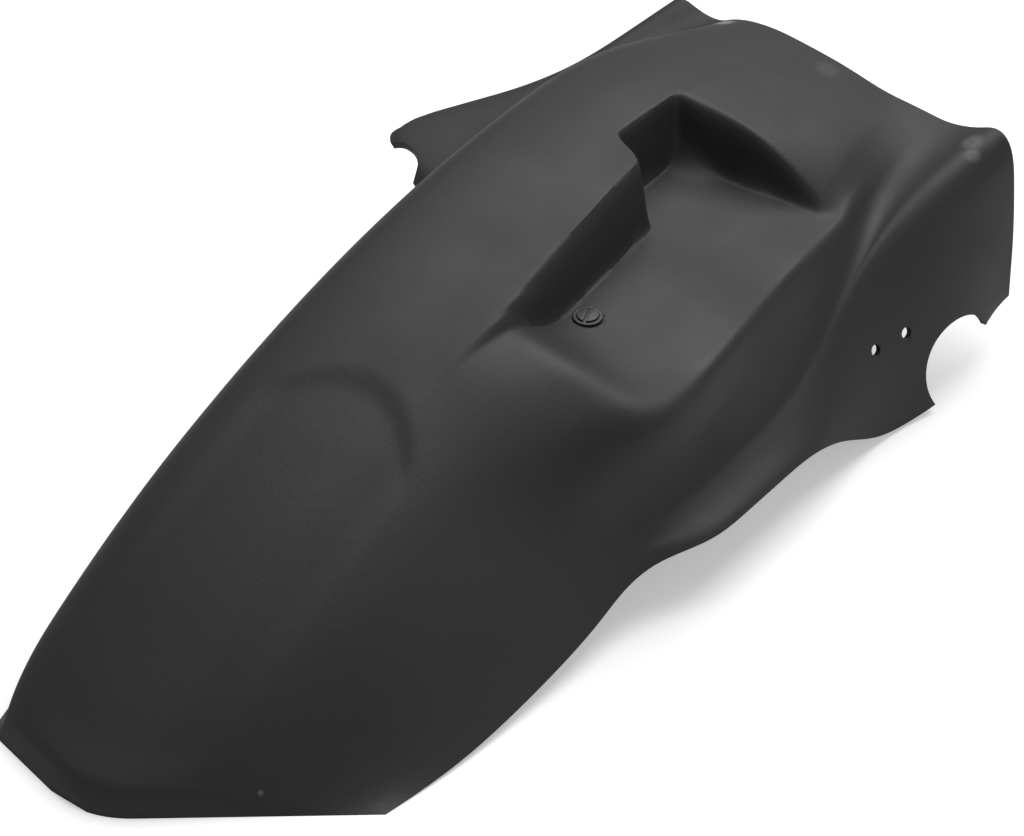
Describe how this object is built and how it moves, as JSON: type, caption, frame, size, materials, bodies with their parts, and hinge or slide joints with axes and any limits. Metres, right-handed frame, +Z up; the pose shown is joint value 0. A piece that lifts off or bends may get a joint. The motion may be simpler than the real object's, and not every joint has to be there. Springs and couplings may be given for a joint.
{
  "type": "mudguard extender",
  "caption": "Arched one-piece motorcycle rear mudguard with a V-shaped tail, a stepped pocket on top, flared side wings and a slotted plastic rivet in the pocket floor.",
  "frame": {"origin": "on the floor under the middle of the part's box, as it lies on its tail edge, left skirt and right wing lip", "axes": "+X towards the front edge, along the part's length; +Y to the part's left; +Z up, out of the top of the arch"},
  "size_m": [0.504, 0.2758, 0.121],
  "materials": {
    "grained_abs": "fine moulded grain, matt black",
    "black_nylon": "smooth moulded black nylon"
  },
  "bodies": {
    "root": {"mudguard_shell": "grained_abs", "rivet_sleeve": "black_nylon", "rivet_screw": "black_nylon"}
  },
  "joints": []
}
